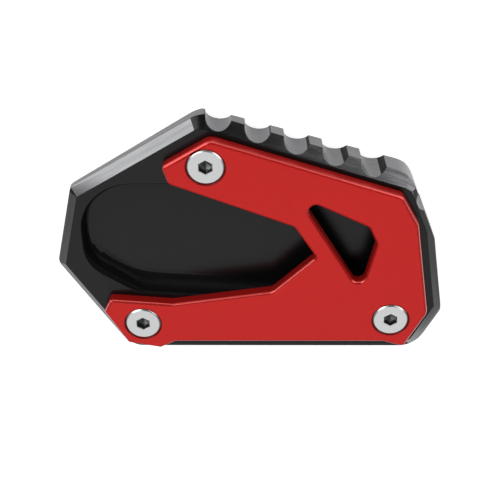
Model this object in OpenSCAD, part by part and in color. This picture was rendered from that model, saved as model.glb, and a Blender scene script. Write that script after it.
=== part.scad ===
// Kickstand foot enlarger for a motorcycle. A wedge shaped base plate takes the foot of
// the side stand in an oval pocket, and a forked clamp plate, held by three countersunk
// screws, closes over the edge of that foot.
// The ground face lies on z = 0 and the box of the part is centred on the Z axis.
// The base is thin at its left end (-X) and thick at its lower right corner.
// An outline is made of straight edges. Each is known by the direction in which it lies,
// seen from the datum point in degrees from +X, and by its reach, its distance from there.

/* [Base flats] */
// Direction of the grip flat, the one with the row of scallops
grip_dir = 71.5; // [69:0.5:74]
// Reach of the grip flat
grip_reach = 37.6; // [36.5:0.1:39.5]
// Direction of the upper left flat
nose_dir = 121.2; // [119:0.2:124]
// Reach of the upper left flat
nose_reach = 45.0; // [44.5:0.1:46.5]
// Direction of the left flat
left_dir = 166.3; // [164:0.1:169]
// Reach of the left flat
left_reach = 58.1; // [57.5:0.1:60]
// Direction of the lower left flat
heel_dir = 211.7; // [209:0.1:214]
// Reach of the lower left flat
heel_reach = 56.6; // [56:0.1:58]
// Direction of the front flat
front_dir = 270; // [268:0.5:272]
// Reach of the front flat
front_reach = 41.8; // [41:0.1:45]
// Direction of the lower right flat
toe_dir = 332.5; // [330:0.5:335]
// Reach of the lower right flat
toe_reach = 67.9; // [67:0.1:70]
// Direction of the right flat
right_dir = 8.3; // [7:0.1:10]
// Reach of the right flat
right_reach = 57.5; // [57:0.1:60]
// Direction of the shoulder flat, between the right and the grip flat
shoulder_dir = 21; // [19:0.5:24]
// Reach of the shoulder flat
shoulder_reach = 54.4; // [54:0.1:57]

/* [Base corners] */
// Radius of the wall at the apex, between the upper left and the grip flat
apex_r = 8.5; // [6:0.5:11]
// Radius of the wall at the upper right corner
shoulder_r = 9.5; // [6:0.5:10]
// Radius of the wall at the lower left corner, under the clamp's tab
heel_r = 10; // [8:0.5:12]
// Radius of the wall at the lower right end of the front flat
toe_r = 9; // [6:0.5:11]
// Radius of the wall at the other corners
corner_r = 3.5; // [1:0.5:4]

/* [Base thickness and chamfers] */
// Height of the top face over the ground face, at the datum point
deck_height = 10.9; // [10.6:0.1:13]
// Angle between the top face and the ground face
wedge_angle = 4; // [3:0.1:4.5]
// Direction in which the base grows thicker
wedge_dir = -24; // [-35:1:-15]
// Slope of every chamfer, measured from the face that it breaks
chamfer_angle = 35; // [32:1:38]
// Width of the upper chamfer on the grip flat
grip_chamfer = 4.0; // [3:0.1:4.4]
// Width of the upper chamfer on the lower right flat
toe_chamfer = 4.0; // [3:0.1:4.4]
// Width of the upper chamfer on the upper left flat
nose_chamfer = 3.0; // [2.4:0.1:3.5]
// Width of the upper chamfer on the shoulder flat
shoulder_chamfer = 1.6; // [1.2:0.1:2.4]
// Width of the upper chamfer on the lower left flat
heel_chamfer = 2.0; // [1.5:0.1:2.5]
// Width of the upper chamfer on the other flats
edge_chamfer = 2.4; // [1.8:0.1:3]
// Width of the chamfer round the ground face
ground_chamfer = 4.0; // [2:0.1:4.2]
// Radius of the upper chamfer's inner edge at the apex
apex_inner_r = 5; // [3:0.5:7]
// Radius of the upper chamfer's inner edge at the other corners
corner_inner_r = 0.6; // [0.3:0.1:2]

/* [Grip scallops] */
// Radius of a scallop
scallop_r = 4.0; // [3.5:0.1:4.4]
// Depth of the scallops in the grip flat
scallop_depth = 3.5; // [2.5:0.1:3.8]
// Distance from one scallop of the grip flat to the next
scallop_pitch = 12.3; // [11.5:0.1:12.8]
// Number of scallops in the grip flat
scallop_count = 5; // [3:1:5]
// Place of the middle of the row along the grip flat, from the foot of its reach
scallop_mid = 3.0; // [2:0.1:4]
// Depth of the single scallop in the shoulder flat
shoulder_scallop_depth = 1.4; // [1:0.1:2]
// Place of the single scallop along the shoulder flat
shoulder_scallop_at = 5.8; // [5:0.1:7]

/* [Foot pocket] */
// Depth of the pocket under the top face
pocket_depth = 5.4; // [5:0.1:5.6]
// Reach of the pocket's upper wall
pocket_up = 21.5; // [19:0.1:22]
// Reach of the pocket's left wall
pocket_left = 53.1; // [51:0.1:53.3]
// Direction of the slanted wall at the pocket's lower left
pocket_slant_dir = 236.5; // [233:0.5:240]
// Reach of that slanted wall
pocket_slant = 36.2; // [35.5:0.1:37.5]
// Direction of the pocket's lower wall
pocket_low_dir = 266; // [264:0.5:270]
// Reach of the pocket's lower wall
pocket_low = 21.3; // [20:0.1:22]
// Reach of the pocket's right wall
pocket_right = 44; // [41:0.1:45]
// Radius of the pocket's upper left corner
pocket_up_r = 17; // [14:0.5:18]
// Radius of the pocket's other corners
pocket_corner_r = 12; // [9:0.5:13]
// Slope of the pocket's wall from the straight, in degrees
pocket_draft = 6; // [2:1:10]
// Radius where the pocket's wall meets its floor
pocket_fillet = 1.6; // [0.6:0.1:2]
// Width of the broken edge round the pocket's mouth
pocket_break = 0.4; // [0.2:0.1:0.8]
// Width of that broken edge along the slanted wall
slant_break = 1.4; // [0.4:0.1:1.8]
// Depth of the broken edge
break_depth = 0.6; // [0.3:0.1:1]

/* [Clamp plate] */
// Thickness of the clamp plate
clamp_t = 4.0; // [3.8:0.1:5]
// Width of the broken edge round the clamp's upper face
clamp_break = 0.6; // [0.3:0.1:0.8]
// Bare strip of the base between the grip chamfer and the clamp
clamp_grip_gap = 1.2; // [0.8:0.1:2]
// Bare strip between the upper left chamfer and the clamp
clamp_nose_gap = 3.6; // [3:0.1:4.5]
// Bare strip between the right chamfer and the clamp
clamp_right_gap = 2.4; // [1.5:0.1:3]
// Bare strip between the lower right chamfer and the clamp
clamp_toe_gap = 2.1; // [1.5:0.1:3]
// Bare strip between the front chamfer and the clamp
clamp_front_gap = 3.4; // [2.5:0.1:4]
// Direction of the clamp's cut corner at the shoulder
clamp_shoulder_dir = 28; // [25:1:32]
// Reach of that cut corner
clamp_shoulder_reach = 49.9; // [49:0.1:51]

/* [Clamp fork] */
// Direction of the end of the upper arm
upper_end_dir = 197; // [192:1:202]
// Reach of the end of the upper arm
upper_end_reach = 16.6; // [15:0.1:18]
// Direction of the inner edge of the upper arm
upper_arm_dir = 248.2; // [246:0.2:250]
// Distance of that inner edge over the datum point
upper_arm_rise = 12.5; // [11.5:0.1:13.5]
// Direction of the bottom of the fork
fork_dir = 31.9; // [28:0.1:36]
// Reach of the bottom of the fork
fork_reach = 15.9; // [14:0.1:16.5]
// Direction of the slanted edge below the bottom of the fork
fork_slant_dir = 313.8; // [311:0.2:317]
// Reach of that slanted edge
fork_slant_reach = 16.4; // [15:0.1:17]
// Direction of the inner edge of the lower arm
lower_arm_dir = 278.5; // [277:0.5:280]
// Distance from the lower left screw in to that inner edge
lower_arm_in = 6.1; // [5.5:0.1:7]
// Direction of the inner edge along the lower arm's tab
tab_edge_dir = 265; // [263:0.5:267]
// Distance from the lower left screw in to that edge
tab_edge_in = 8.5; // [8:0.1:9]
// Direction of the end of the tab
tab_end_dir = 154.3; // [150:0.1:158]
// Distance from the lower left screw out to the end of the tab
tab_end_out = 13.1; // [12.5:0.1:14]
// Direction of the outer edge of the tab
tab_heel_dir = 208.8; // [206:0.2:211]
// Distance from the lower left screw out to that outer edge
tab_heel_out = 8.6; // [8:0.1:9.5]
// Direction of the bottom edge of the tab
tab_foot_dir = 258.6; // [256:0.2:261]
// Distance from the lower left screw out to the bottom edge of the tab
tab_foot_out = 8.8; // [8.2:0.1:9.6]
// Direction of the short edge from the tab back to the clamp's front edge
tab_back_dir = 297.9; // [294:0.1:302]
// Distance from the lower left screw out to that short edge
tab_back_out = 11.3; // [10.5:0.1:12]
// Direction of the edge under the lower right screw
lobe_dir = 253; // [249:1:257]
// Distance from the lower right screw out to that edge
lobe_out = 9.1; // [8.5:0.1:9.8]
// Radius of the clamp's widest corners
clamp_apex_r = 4.0; // [3:0.5:5]
// Radius at the tip of the clamp's upper arm
clamp_tip_r = 1.8; // [1.2:0.1:3]
// Radius of the clamp's blunt corners
clamp_corner_r = 2.5; // [1.5:0.1:3]
// Radius of the clamp's sharp corners
clamp_sharp_r = 1.2; // [0.8:0.1:1.6]

/* [Clamp window] */
// Direction of the window's upper edge
window_up_dir = 63.2; // [60:0.2:66]
// Reach of the window's upper edge
window_up_reach = 23.5; // [22.5:0.1:24]
// Direction of the window's edge on the right
window_right_dir = 23.4; // [20:0.2:27]
// Distance between that edge and the long slanted edge, along their own directions
window_right_span = 14.5; // [13.8:0.1:15.6]
// Direction of the window's edge at the lower right
window_low_dir = 346.3; // [343:0.1:349]
// Distance between that edge and the long slanted edge, along their own directions
window_low_span = 15.5; // [14.8:0.1:16.6]
// Direction of the long slanted edge, pointing out of the window
window_slant_dir = 210; // [207:0.5:213]
// Width of the web between the bottom of the fork and the window
window_web = 6.4; // [5.5:0.1:7]
// Radius of the window's two sharp ends
window_end_r = 2.2; // [1.6:0.1:2.6]

/* [Screws] */
// Nominal diameter of the screws
screw_d = 6; // [5:0.5:6.5]
// Length of a screw with its head
screw_length = 12; // [10:0.5:12]
// Width of the chamfer at a screw's tip
screw_tip = 1.0; // [0.5:0.1:1.4]
// Diameter of a screw's head
head_d = 11.4; // [10.5:0.1:12]
// Height of the straight rim of the head
head_rim = 0.45; // [0.3:0.05:0.6]
// Width of the broken edge round the head
head_break = 0.22; // [0.1:0.02:0.28]
// Width across the flats of the hexagon socket
socket_af = 4.0; // [3:0.1:4.5]
// Depth of the hexagon socket
socket_depth = 2.4; // [1.8:0.1:2.6]
// Distance of the upper screw from the upper left flat
upper_screw_inset = 13.5; // [13:0.1:15]
// Distance of the upper screw from the grip flat
upper_screw_down = 14.1; // [13.5:0.1:15.5]
// Distance of the lower left screw from the lower left flat
left_screw_inset = 11.4; // [11:0.1:13]
// Distance of the lower left screw from the front flat
left_screw_up = 13.2; // [12.5:0.1:14.5]
// Distance of the lower right screw from the lower right flat
right_screw_inset = 15.4; // [14.5:0.1:16.5]
// Distance of the lower right screw from the front flat
right_screw_up = 14.7; // [14:0.1:15.5]

/* [Fits] */
// Gap between a screw's thread and its hole in the base
thread_gap = 0.05; // [0.02:0.01:0.1]
// Gap between a screw's shank and its hole in the clamp
shank_gap = 0.3; // [0.2:0.05:0.5]
// Gap between a screw's cone and its seat in the clamp
seat_gap = 0.05; // [0.02:0.01:0.1]
// Width of the broken edge where a screw's hole leaves the ground face
hole_break = 0.6; // [0.3:0.1:1]

/* [Hidden] */
// Degrees of a full turn
full_turn = 360;
// Largest turn between two points of a rounded corner
arc_step = 6;
// Radius of a chamfer's corner that takes one more facet
facet_r = 2.5;
// Points round a screw's turned faces and its holes
round_fn = 64;
// Distance by which a cutter passes the face that it opens
past = 1;
// Distance by which the cutter of the clamp's broken edge passes its two faces
lap = 0.2;
// Size of a block that is larger than the whole part
block = 200;
// Slope of a screw's conical seat
cone_angle = 45;
// Slope of the drilled cone at the end of a socket
drill_angle = 31;
// Ledge between the flats of the socket and the widest place of that cone
drill_ledge = 0.15;
// Height by which that cone reaches up into the socket
drill_lap = 0.05;
// Half the angle between two corners of a hexagon
hex_half = 30;
// Rings of the pocket's floor fillet
fillet_rings = 4;
// Share of the corner's turn between the two flats at which the shoulder facet faces
facet_turn = 0.75;
// Width that the shoulder facet cuts off the inner corner
facet_cut = 0.45;

chamfer_slope = tan(chamfer_angle);

// A flat of the base: direction, reach, width of the upper chamfer, radius of the wall
// and radius of the chamfer's inner edge at the corner with the next flat
shoulder = [shoulder_dir, shoulder_reach, shoulder_chamfer, shoulder_r, 0];
grip = [grip_dir, grip_reach, grip_chamfer, apex_r, apex_inner_r];
nose = [nose_dir, nose_reach, nose_chamfer, corner_r, corner_inner_r];
left = [left_dir, left_reach, edge_chamfer, corner_r, corner_inner_r];
heel = [heel_dir, heel_reach, heel_chamfer, heel_r, apex_inner_r];
front = [front_dir, front_reach, edge_chamfer, toe_r, apex_inner_r];
toe = [toe_dir, toe_reach, toe_chamfer, corner_r, 0];
right = [right_dir + full_turn, right_reach, edge_chamfer, corner_r, 0];
base_flats = [shoulder, grip, nose, left, heel, front, toe, right];

// Centres of the three screws on the top face
upper_screw = meet(grip, nose, upper_screw_down, upper_screw_inset);
left_screw = meet(heel, front, left_screw_inset, left_screw_up);
right_screw = meet(front, toe, right_screw_up, right_screw_inset);

// Point of the plane that lies at a distance from the datum in a direction
function polar(dir, r) = r * [cos(dir), sin(dir)];

// Corner where two flats meet, after each is moved inward by its own inset
function meet(f, g, f_in = 0, g_in = 0) =
    let (p = f[1] - f_in, q = g[1] - g_in, turn = sin(g[0] - f[0]))
    [(p * sin(g[0]) - q * sin(f[0])) / turn, (q * cos(f[0]) - p * cos(g[0])) / turn];

// Directions from one to another in equal steps of at most arc_step
function fan(from, to) =
    let (n = max(1, ceil(abs(to - from) / arc_step)))
    [for (i = [0:n]) from + (to - from) * i / n];

// Outline round a list of flats that faces outward all the way, inset by a distance
function convex_outline(flats, inset = 0) = [
    for (i = [0:len(flats) - 1])
        let (f = flats[i], g = flats[(i + 1) % len(flats)], r = f[3])
        let (end = g[0] < f[0] ? g[0] + full_turn : g[0], c = meet(f, g, r, r))
        for (a = fan(f[0], end)) c + polar(a, r - inset)
];

// Round point of a corner with radius r between the neighbours a and b. A corner that
// turns left has its material inside and is drawn back by the inset, the other forward
function round_corner(a, p, b, r, inset) =
    let (u = (a - p) / norm(a - p), v = (b - p) / norm(b - p))
    let (left_turn = u.x * v.y - u.y * v.x < 0, half = acos(u * v) / 2)
    let (centre = p + (u + v) / norm(u + v) * r / sin(half))
    let (first = atan2(u.x, -u.y), last = atan2(-v.x, v.y))
    let (flip = left_turn ? 0 : full_turn / 2, from = first + flip, to = last + flip)
    let (swing = (to - from + 1.5 * full_turn) % full_turn - full_turn / 2, new_r = left_turn ? r - inset : r + inset)
    [for (d = fan(0, swing)) centre + polar(from + d, new_r)];

// Closed outline along edges, each with the radius of the corner at its end
function round_outline(edges, inset = 0) =
    let (n = len(edges), corners = [for (i = [0:n - 1]) meet(edges[i], edges[(i + 1) % n])])
    [
        for (i = [0:n - 1])
            each round_corner(
                corners[(i + n - 1) % n], corners[i], corners[(i + 1) % n], edges[i][2], inset
            )
    ];

// Points of outlines that lie one above the other, each at its own height
function levels(outlines, heights) =
    [for (k = [0:len(outlines) - 1]) for (p = outlines[k]) [p.x, p.y, heights[k]]];

// Faces between neighbouring outlines of n points. A closed skin also joins the last
// outline to the first
function skin(n, count, closed) = [
    for (k = [0:count - (closed ? 1 : 2)]) for (i = [0:n - 1])
        let (j = (i + 1) % n, up = ((k + 1) % count) * n, low = k * n)
        each [[low + i, up + i, up + j], [low + i, up + j, low + j]]
];

// Solid between convex outlines that have as many points
module loft(outlines, heights) {
    n = len(outlines[0]);
    count = len(outlines);
    floor_face = [for (i = [0:n - 1]) i];
    top_face = [for (i = [n - 1:-1:0]) (count - 1) * n + i];
    polyhedron(levels(outlines, heights), concat([floor_face], skin(n, count, false), [top_face]));
}

// Closed ring that runs along an outline, its section going round the given levels
module ring(outlines, heights) {
    polyhedron(levels(outlines, heights), skin(len(outlines[0]), len(outlines), true));
}

// Centre of the base's box, which goes to the Z axis
wall = convex_outline(base_flats);
wall_x = [for (p = wall) p.x];
wall_y = [for (p = wall) p.y];
box_centre = [(min(wall_x) + max(wall_x)) / 2, (min(wall_y) + max(wall_y)) / 2, 0];

// Puts the whole part over the Z axis
module centred() {
    translate(-box_centre) children();
}

// Frame of the slanted top face, with its own z = 0 on that face
module on_deck() {
    translate([0, 0, deck_height]) rotate(wedge_dir) rotate([0, -wedge_angle, 0]) rotate(-wedge_dir)
        children();
}

// Planes of the upper chamfer: direction and distance of the inner edge. A rounded
// corner has a fan of planes, and the shoulder corner has one narrow facet
function inner_flat(f) = [f[0], f[1] - f[2]];
function corner_planes(f, g) =
    let (a = inner_flat(f), b = inner_flat([g[0] < f[0] ? g[0] + full_turn : g[0], g[1], g[2]]), r = f[4])
    let (c = meet(a, b, r, r), n = 1 + ceil(r / facet_r))
    [for (i = [1:n - 1]) let (d = a[0] + (b[0] - a[0]) * i / n) [d, c * polar(d, 1) + r]];
facet_dir = shoulder_dir + facet_turn * (grip_dir - shoulder_dir);
facet_reach = meet(inner_flat(shoulder), inner_flat(grip)) * polar(facet_dir, 1) - facet_cut;
chamfer_planes = concat(
    [for (f = base_flats) inner_flat(f)],
    [[facet_dir, facet_reach]],
    [for (i = [0:len(base_flats) - 1])
        if (base_flats[i][4] > 0)
            each corner_planes(base_flats[i], base_flats[(i + 1) % len(base_flats)])]
);

// Block outside a sloping plane that starts at a distance from the datum
module sloped_block(dir, reach, angle) {
    rotate(dir) translate([reach, 0, 0]) rotate([0, angle, 0])
        translate([-block / 2, -block / 2, 0]) cube([block, block, block]);
}

module upper_chamfer_cut() {
    for (p = chamfer_planes) sloped_block(p[0], p[1], chamfer_angle);
}

module ground_chamfer_cut() {
    mirror([0, 0, 1])
        for (f = base_flats) sloped_block(f[0], f[1] - ground_chamfer, chamfer_angle);
}

// One scallop through the whole thickness, at a place along its flat
module scallop(flat, along, depth) {
    rotate(flat[0]) translate([flat[1] + scallop_r - depth, -along, -past])
        cylinder(r = scallop_r, h = block, $fn = round_fn);
}

module grip_scallops() {
    for (i = [0:scallop_count - 1])
        scallop(grip, scallop_mid + (i - (scallop_count - 1) / 2) * scallop_pitch, scallop_depth);
    scallop(shoulder, shoulder_scallop_at, shoulder_scallop_depth);
}

// Pocket for the foot of the stand: broken mouth, drafted wall and rounded floor edge. Its
// flats stand as those of the base, with the width of the broken edge as the third value
pocket_mouth = [
    [0, pocket_right, pocket_break, pocket_corner_r],
    [90, pocket_up, pocket_break, pocket_up_r],
    [180, pocket_left, pocket_break, pocket_corner_r],
    [pocket_slant_dir, pocket_slant, slant_break, pocket_corner_r],
    [pocket_low_dir, pocket_low, pocket_break, pocket_corner_r]
];
pocket_wall = [for (f = pocket_mouth) [f[0], f[1] - f[2], 0, f[3]]];
wall_run = (pocket_depth - pocket_fillet - break_depth) * tan(pocket_draft);
fillet_turns = [for (i = [0:fillet_rings]) 90 * i / fillet_rings];

module foot_pocket() {
    rings = [
        for (t = fillet_turns)
            convex_outline(pocket_wall, wall_run + pocket_fillet * (1 - sin(t)))
    ];
    ring_heights = [for (t = fillet_turns) -pocket_depth + pocket_fillet * (1 - cos(t))];
    brim = convex_outline(pocket_wall);
    mouth = convex_outline(pocket_mouth);
    loft(concat(rings, [brim, mouth, mouth]), concat(ring_heights, [-break_depth, 0, past]));
}

// Tapped hole through the base, square to the top face, with a broken edge at the ground
module tapped_hole(at) {
    on_deck() translate([at.x, at.y, -block / 2])
        cylinder(d = screw_d + 2 * thread_gap, h = block, $fn = round_fn);
    ground_at = ground_point(at);
    translate([ground_at.x, ground_at.y, -past])
        cylinder(
            r1 = screw_d / 2 + hole_break + past,
            r2 = screw_d / 2,
            h = hole_break + past,
            $fn = round_fn
        );
}

// Point of the ground face that lies under a point of the top face, along the screw
function ground_point(at) =
    let (along = at * polar(wedge_dir, 1), foot = deck_height + along * sin(wedge_angle))
    at + polar(wedge_dir, along * (cos(wedge_angle) - 1) + foot * tan(wedge_angle));

module base_plate() {
    color([0.16, 0.16, 0.17]) centred() difference() {
        linear_extrude(height = 2 * deck_height) polygon(wall);
        on_deck() translate([-block / 2, -block / 2, 0]) cube([block, block, block]);
        on_deck() upper_chamfer_cut();
        ground_chamfer_cut();
        grip_scallops();
        on_deck() foot_pocket();
        for (at = [upper_screw, left_screw, right_screw]) tapped_hole(at);
    }
}

// Edges of the clamp: direction, reach and radius of the corner at the edge's end. Some
// of them follow the base, each inside the chamfer of its flat
function clamp_edge(f, gap, r) = [f[0], f[1] - f[2] - gap, r];
// Edge at a distance from a screw, further out from the datum or, if negative, nearer
function screw_edge(at, dir, out, r) = [dir, at * polar(dir, 1) + out, r];
clamp_edges = [
    clamp_edge(nose, clamp_nose_gap, clamp_tip_r),
    [upper_end_dir, upper_end_reach, clamp_corner_r],
    [upper_arm_dir, -upper_arm_rise, clamp_corner_r],
    [fork_dir, fork_reach, clamp_sharp_r],
    [fork_slant_dir, fork_slant_reach, clamp_apex_r],
    screw_edge(left_screw, lower_arm_dir, -lower_arm_in, clamp_sharp_r),
    screw_edge(left_screw, tab_edge_dir, -tab_edge_in, clamp_sharp_r),
    screw_edge(left_screw, tab_end_dir, tab_end_out, clamp_sharp_r),
    screw_edge(left_screw, tab_heel_dir, tab_heel_out, clamp_sharp_r),
    screw_edge(left_screw, tab_foot_dir, tab_foot_out, clamp_sharp_r),
    screw_edge(left_screw, tab_back_dir, tab_back_out, clamp_corner_r),
    clamp_edge(front, clamp_front_gap, clamp_corner_r),
    screw_edge(right_screw, lobe_dir, lobe_out, clamp_sharp_r),
    clamp_edge(toe, clamp_toe_gap, clamp_apex_r),
    clamp_edge(right, clamp_right_gap, clamp_sharp_r),
    [clamp_shoulder_dir, clamp_shoulder_reach, clamp_corner_r],
    clamp_edge(grip, clamp_grip_gap, clamp_apex_r)
];
window_reach = fork_reach + window_web;
window_edges = [
    [window_low_dir, window_reach + window_low_span, clamp_sharp_r],
    [window_right_dir, window_reach + window_right_span, clamp_sharp_r],
    [window_up_dir, window_up_reach, window_end_r],
    [window_slant_dir, -window_reach, window_end_r]
];

module clamp_window() {
    plain = round_outline(window_edges);
    wide = round_outline(window_edges, -clamp_break - past);
    loft([plain, plain, wide], [-past, clamp_t - clamp_break, clamp_t + past]);
}

// Hole for a screw in the clamp, with its conical seat
module countersunk_hole(at) {
    seat_r = head_d / 2 + seat_gap;
    seat_h = seat_r / tan(cone_angle);
    rim_z = clamp_t - head_rim;
    translate([at.x, at.y, -past])
        cylinder(d = screw_d + 2 * shank_gap, h = clamp_t + past, $fn = round_fn);
    translate([at.x, at.y, rim_z - seat_h])
        cylinder(
            r1 = 0,
            r2 = seat_r + (head_rim + past) * tan(cone_angle),
            h = seat_h + head_rim + past,
            $fn = round_fn
        );
}

module clamp_plate() {
    outer = round_outline(clamp_edges, -lap);
    inner = round_outline(clamp_edges, clamp_break + lap);
    color([0.73, 0.16, 0.15]) centred() on_deck() difference() {
        linear_extrude(height = clamp_t) polygon(round_outline(clamp_edges));
        ring([outer, outer, inner], [clamp_t - clamp_break - lap, clamp_t + lap, clamp_t + lap]);
        clamp_window();
        for (at = [upper_screw, left_screw, right_screw]) countersunk_hole(at);
    }
}

// Countersunk screw with a hexagon socket, its head level with the clamp's upper face
module screw(at) {
    r = head_d / 2;
    shank_r = screw_d / 2;
    cone_h = (r - shank_r) / tan(cone_angle);
    profile = [
        [0, 0],
        [r - head_break, 0],
        [r, -head_break],
        [r, -head_rim],
        [shank_r, -head_rim - cone_h],
        [shank_r, screw_tip - screw_length],
        [shank_r - screw_tip, -screw_length],
        [0, -screw_length]
    ];
    drill_r = socket_af / 2 - drill_ledge;
    drill_h = drill_r * tan(drill_angle);
    color([0.78, 0.8, 0.8]) centred() on_deck() translate([at.x, at.y, clamp_t]) difference() {
        rotate_extrude($fn = round_fn) polygon(profile);
        translate([0, 0, -socket_depth]) rotate(hex_half)
            cylinder(r = socket_af / 2 / cos(hex_half), h = socket_depth + past, $fn = 6);
        translate([0, 0, -socket_depth - drill_h + drill_lap])
            cylinder(r1 = 0, r2 = drill_r, h = drill_h, $fn = round_fn);
    }
}

module screw_upper() {
    screw(upper_screw);
}

module screw_lower_left() {
    screw(left_screw);
}

module screw_lower_right() {
    screw(right_screw);
}

base_plate();
clamp_plate();
screw_upper();
screw_lower_left();
screw_lower_right();
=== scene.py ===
# %% [markdown]
# # A kickstand foot enlarger: dressing the frame
# The object is a motorcycle part: a thick black plate that goes under the foot of a side stand,
# a thinner red plate that clamps the foot from above, and three countersunk screws.
# The shapes are already measured and packed as a frame. This lesson gives them rounded edges,
# real threads and machined finishes, and lights them as a product photographer would.

# %% Load the frame
import math
import bmesh
import bpy
from mathutils import Matrix, Vector


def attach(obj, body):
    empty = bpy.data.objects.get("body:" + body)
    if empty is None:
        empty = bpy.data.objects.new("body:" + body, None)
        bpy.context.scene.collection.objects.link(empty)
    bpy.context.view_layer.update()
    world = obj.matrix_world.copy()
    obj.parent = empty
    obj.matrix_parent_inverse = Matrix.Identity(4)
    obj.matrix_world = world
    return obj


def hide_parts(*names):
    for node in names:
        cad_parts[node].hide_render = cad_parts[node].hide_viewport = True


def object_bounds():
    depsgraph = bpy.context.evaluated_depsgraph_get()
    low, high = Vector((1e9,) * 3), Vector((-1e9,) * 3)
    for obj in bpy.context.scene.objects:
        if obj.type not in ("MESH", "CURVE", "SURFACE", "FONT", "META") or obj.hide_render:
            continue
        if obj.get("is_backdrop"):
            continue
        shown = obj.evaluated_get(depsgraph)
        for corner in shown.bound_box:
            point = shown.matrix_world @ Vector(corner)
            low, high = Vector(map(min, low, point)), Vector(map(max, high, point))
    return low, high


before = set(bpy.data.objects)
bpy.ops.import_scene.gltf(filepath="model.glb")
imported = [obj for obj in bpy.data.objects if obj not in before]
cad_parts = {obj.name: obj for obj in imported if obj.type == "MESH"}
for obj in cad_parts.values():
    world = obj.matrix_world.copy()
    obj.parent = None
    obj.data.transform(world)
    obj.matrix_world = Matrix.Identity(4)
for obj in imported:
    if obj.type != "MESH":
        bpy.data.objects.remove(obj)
cad_box = [list(corner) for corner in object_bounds()]
scene = bpy.context.scene
scene.view_settings.view_transform = "Standard"
print("nodes:", sorted(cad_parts))
print("CAD box:", cad_box)

# %% [markdown]
# ## The camera
# The picture was taken with a moderately long lens from above the grip side, almost square to the
# top of the part, and then turned so that the grip is up. A camera is described by where it stands
# and by its three axes. The axes are written straight into its matrix, because the picture is
# turned nearly half round, which no look-at helper would keep.

# %% Place the camera
MM = 0.001
camera_place = Vector((-8.6651, 189.8262, 294.9768)) * MM
camera_right = Vector((0.999023, -0.017204, 0.040699)).normalized()
camera_back = camera_right.cross(Vector((0.037106, 0.826752, -0.561342))).normalized()
camera_up = camera_back.cross(camera_right)
lens_mm = 78.2225
sensor_mm = 36.0

camera_data = bpy.data.cameras.new("camera")
camera_data.lens = lens_mm
camera_data.sensor_width = sensor_mm
camera_data.clip_start = 0.01
camera = bpy.data.objects.new("camera", camera_data)
scene.collection.objects.link(camera)
axes = Matrix((camera_right, camera_up, camera_back)).transposed().to_4x4()
camera.matrix_world = Matrix.Translation(camera_place) @ axes
scene.camera = camera
print("camera is", round(camera_place.length / MM), "mm from the middle of the part")

# %% [markdown]
# ## The deck and its directions
# The top of the part slopes a few degrees against the ground. Everything on it, such as the
# screws, the chamfers and the grain of the finish, follows that slope. So the first helper is a
# set of three directions that belong to the deck, measured from the top faces of the packed
# screws. Its back is the side with the grip, above which the camera stands. Its front is the long
# straight side opposite, at the foot of the picture.

# %% Directions of the deck
deck_up = Vector((-0.06373, 0.02837, 0.99756)).normalized()
deck_right = Vector((1.0, 0.0, 0.0))
deck_right = (deck_right - deck_up * deck_right.dot(deck_up)).normalized()
deck_back = deck_up.cross(deck_right)
deck_turn = Matrix((deck_right, deck_back, deck_up)).transposed()


def deck_direction(azimuth, elevation):
    """A direction over the deck: azimuth from its right, elevation above it, in degrees."""
    a, e = math.radians(azimuth), math.radians(elevation)
    flat = deck_right * math.cos(a) + deck_back * math.sin(a)
    return flat * math.cos(e) + deck_up * math.sin(e)


def across_deck(vector):
    """The part of a vector that lies in the deck's plane."""
    return vector - deck_up * vector.dot(deck_up)


print("the deck slopes", round(math.degrees(deck_up.angle(Vector((0, 0, 1)))), 1), "degrees")

# %% [markdown]
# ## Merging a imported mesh
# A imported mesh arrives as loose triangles, which is how it is stored for games and the web.
# No bevel can follow an edge that is not joined. A copy is merged first, and triangles that lie in
# one plane become one face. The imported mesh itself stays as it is, for collision.

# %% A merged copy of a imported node
weld_reach = 0.002 * MM
one_plane = math.radians(0.4)


def count_open(work):
    """How many edges of a bmesh don't lie between exactly two faces."""
    return sum(1 for edge in work.edges if len(edge.link_faces) != 2)


def merged_copy(node):
    """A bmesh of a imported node, with its corners joined and its flat faces whole."""
    work = bmesh.new()
    work.from_mesh(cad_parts[node].data)
    bmesh.ops.remove_doubles(work, verts=work.verts, dist=weld_reach)
    bmesh.ops.dissolve_degenerate(work, dist=weld_reach, edges=work.edges)
    bmesh.ops.dissolve_limit(work, angle_limit=one_plane, verts=work.verts, edges=work.edges)
    print(node, "merged:", len(work.faces), "faces,", count_open(work), "open edges")
    return work


# %% [markdown]
# ## Where the screws are
# Each screw stands square on the deck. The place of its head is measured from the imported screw:
# its highest point along the deck's direction, and the middle of its spread across the deck.


# %% Measure the screw heads
def head_middle(node):
    """The middle of a screw head's top face, in the frame."""
    corners = [vertex.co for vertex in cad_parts[node].data.vertices]
    middle = deck_up * max(co.dot(deck_up) for co in corners)
    for side in (deck_right, deck_back):
        spread = [co.dot(side) for co in corners]
        middle += side * (max(spread) + min(spread)) / 2
    return middle


screw_heads = {node: head_middle(node) for node in
               ("screw_upper", "screw_lower_left", "screw_lower_right")}
for node, middle in screw_heads.items():
    print(node, "head at", [round(value / MM, 2) for value in middle], "mm")

# %% [markdown]
# ## Edges that catch the light
# A milled edge is never perfectly sharp: it is broken with a file or by tumbling, and anodising
# rounds it a little more. That narrow round is what draws the bright line along each edge in a
# photograph. The Bevel modifier makes it, as wide as a weight on each edge says, and its hardened
# normals keep the large faces flat in the shading. Round the screws the edges stay nearly sharp,
# because a countersink is cut last.

# %% Weigh the edges
sharp_angle = math.radians(24)
screw_margin = 6.6 * MM


def off_screws(place):
    """How far a place lies from the nearest screw, along the deck."""
    return min(across_deck(place - head).length for head in screw_heads.values())


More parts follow.
